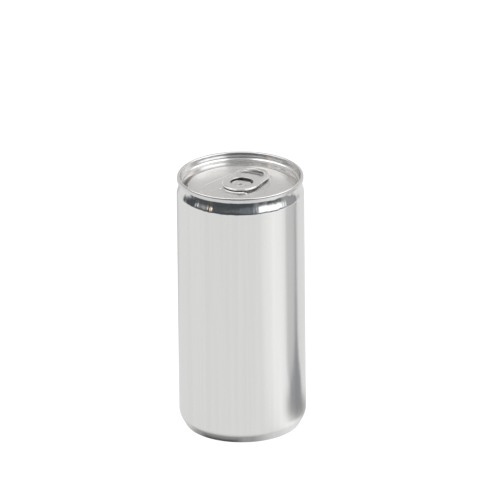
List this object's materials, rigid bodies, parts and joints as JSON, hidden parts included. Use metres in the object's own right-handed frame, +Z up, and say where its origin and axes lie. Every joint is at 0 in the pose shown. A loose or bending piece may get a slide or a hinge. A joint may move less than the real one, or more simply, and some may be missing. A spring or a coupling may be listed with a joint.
{
  "type": "slim beverage can",
  "caption": "Plain unprinted slim aluminium drink can, shut, with necked-in seamed lid, stay-on pull tab and domed base.",
  "frame": {"origin": "middle of the circle that the can stands on, on its axis", "axes": "+Z up along the can's axis; the camera side is -Y; the tab's lift end points to +Y, turned 28 degrees towards +X"},
  "size_m": [0.053, 0.053, 0.111],
  "materials": {
    "body_metal": "drawn and ironed aluminium under clear varnish, satin with fine upright iron marks, mirror-bright at the neck",
    "lid_metal": "pressed aluminium sheet, satin with a faint rolling grain",
    "tab_metal": "curled aluminium sheet, satin flats and bright curled edges"
  },
  "bodies": {
    "root": {"can_body": "body_metal", "can_end": "lid_metal", "pull_tab": "tab_metal"}
  },
  "joints": []
}
